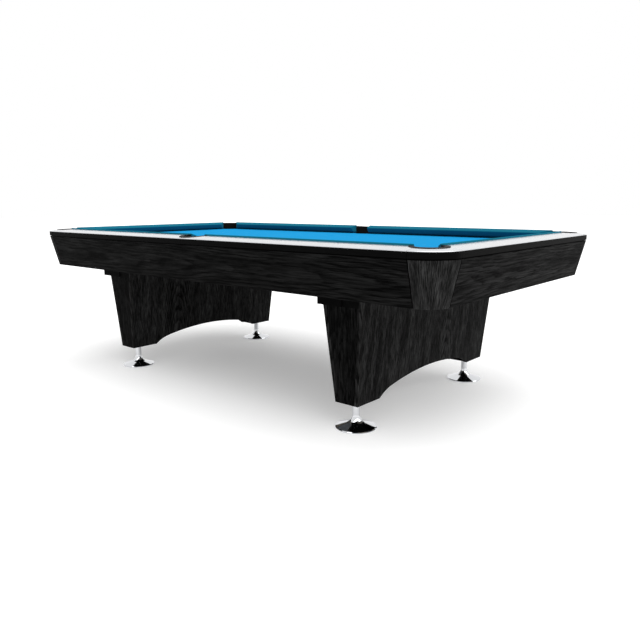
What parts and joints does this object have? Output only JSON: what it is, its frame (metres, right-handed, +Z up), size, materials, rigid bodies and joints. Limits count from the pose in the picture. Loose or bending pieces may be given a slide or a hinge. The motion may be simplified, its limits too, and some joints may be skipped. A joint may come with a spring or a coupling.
{
  "type": "pool table",
  "caption": "Nine-foot slate pool table: leaning oak cabinet with round corners, silver rail tops, blue cloth, six drop pockets, two arched pedestals on levelling feet.",
  "frame": {"origin": "on the floor, under the centre of the table", "axes": "+X along the table from the head end to the foot end, +Y to the left of a player at the head, +Z up"},
  "size_m": [2.845, 1.575, 0.8395],
  "materials": {
    "rail_wood": "black stained oak, satin",
    "cushion_rubber": "moulded gum rubber",
    "rail_cloth": "darker blue worsted cloth",
    "silver_top": "pearl silver, satin gloss",
    "pocket_black": "moulded black rubber, matt",
    "apron_oak": "black stained oak, grain along the board, satin",
    "post_oak": "black stained oak, upright grain, satin",
    "slate": "honed slate",
    "bed_cloth": "bright blue worsted cloth",
    "frame_wood": "sealed grey-brown hardwood",
    "pedestal_oak": "black stained oak, upright grain, satin",
    "bolster_black": "black painted hardwood",
    "zinc_steel": "zinc plated steel",
    "foot_chrome": "polished chrome",
    "pad_plastic": "black nylon",
    "sight_inlay": "pearl inlay"
  },
  "bodies": {
    "cabinet": {"rail_head": "rail_wood", "rail_foot": "rail_wood", "rail_left_head": "rail_wood", "rail_left_foot": "rail_wood", "rail_right_head": "rail_wood", "rail_right_foot": "rail_wood", "corner_cap_head_left": "rail_wood", "corner_cap_head_right": "rail_wood", "corner_cap_foot_left": "rail_wood", "corner_cap_foot_right": "rail_wood", "cushion_head": "cushion_rubber", "cushion_foot": "cushion_rubber", "cushion_left_head": "cushion_rubber", "cushion_left_foot": "cushion_rubber", "cushion_right_head": "cushion_rubber", "cushion_right_foot": "cushion_rubber", "rail_cloths": "rail_cloth", "rail_top_laminates": "silver_top", "corner_cap_tops": "silver_top", "pocket_liner_head_left": "pocket_black", "pocket_liner_head_right": "pocket_black", "pocket_liner_foot_left": "pocket_black", "pocket_liner_foot_right": "pocket_black", "pocket_liner_side_left": "pocket_black", "pocket_liner_side_right": "pocket_black", "apron_head": "apron_oak", "apron_foot": "apron_oak", "apron_left": "apron_oak", "apron_right": "apron_oak", "corner_post_head_left": "post_oak", "corner_post_head_right": "post_oak", "corner_post_foot_left": "post_oak", "corner_post_foot_right": "post_oak", "slate_head": "slate", "slate_middle": "slate", "slate_foot": "slate", "bed_cloth": "bed_cloth", "frame_side_beams": "frame_wood", "frame_cross_beams": "frame_wood", "pedestal_foot_blocks": "bolster_black", "pedestal_head_outer_panel": "pedestal_oak", "pedestal_head_inner_panel": "pedestal_oak", "pedestal_head_end_panels": "pedestal_oak", "pedestal_foot_outer_panel": "pedestal_oak", "pedestal_foot_inner_panel": "pedestal_oak", "pedestal_foot_end_panels": "pedestal_oak", "pedestal_head_bolster": "bolster_black", "pedestal_foot_bolster": "bolster_black", "leveler_inserts": "zinc_steel", "hex_bolts": "zinc_steel", "slate_screws": "zinc_steel", "rail_sights": "sight_inlay"},
    "pad_head_left": {"foot_pad_head_left": "pad_plastic"},
    "foot_head_left": {"foot_head_left": "foot_chrome"},
    "pad_head_right": {"foot_pad_head_right": "pad_plastic"},
    "foot_head_right": {"foot_head_right": "foot_chrome"},
    "pad_foot_left": {"foot_pad_foot_left": "pad_plastic"},
    "foot_foot_left": {"foot_foot_left": "foot_chrome"},
    "pad_foot_right": {"foot_pad_foot_right": "pad_plastic"},
    "foot_foot_right": {"foot_foot_right": "foot_chrome"}
  },
  "joints": [
    {"name": "extend_head_left", "type": "slide", "parent": "cabinet", "child": "pad_head_left", "axis": [0, 0, -1], "range_m": [0, 0.03]},
    {"name": "turn_head_left", "type": "hinge", "parent": "pad_head_left", "child": "foot_head_left", "pos_m": [-0.848, 0.5016, 0.004], "axis": [0, 0, 1], "range_deg": [0, 4320]},
    {"name": "extend_head_right", "type": "slide", "parent": "cabinet", "child": "pad_head_right", "axis": [0, 0, -1], "range_m": [0, 0.03]},
    {"name": "turn_head_right", "type": "hinge", "parent": "pad_head_right", "child": "foot_head_right", "pos_m": [-0.848, -0.5016, 0.004], "axis": [0, 0, 1], "range_deg": [0, 4320]},
    {"name": "extend_foot_left", "type": "slide", "parent": "cabinet", "child": "pad_foot_left", "axis": [0, 0, -1], "range_m": [0, 0.03]},
    {"name": "turn_foot_left", "type": "hinge", "parent": "pad_foot_left", "child": "foot_foot_left", "pos_m": [0.848, 0.5016, 0.004], "axis": [0, 0, 1], "range_deg": [0, 4320]},
    {"name": "extend_foot_right", "type": "slide", "parent": "cabinet", "child": "pad_foot_right", "axis": [0, 0, -1], "range_m": [0, 0.03]},
    {"name": "turn_foot_right", "type": "hinge", "parent": "pad_foot_right", "child": "foot_foot_right", "pos_m": [0.848, -0.5016, 0.004], "axis": [0, 0, 1], "range_deg": [0, 4320]}
  ],
  "couplings": [
    {"joint": "extend_head_left", "follows": "turn_head_left", "m_per_rad": 0.00039789},
    {"joint": "extend_head_right", "follows": "turn_head_right", "m_per_rad": 0.00039789},
    {"joint": "extend_foot_left", "follows": "turn_foot_left", "m_per_rad": 0.00039789},
    {"joint": "extend_foot_right", "follows": "turn_foot_right", "m_per_rad": 0.00039789}
  ]
}
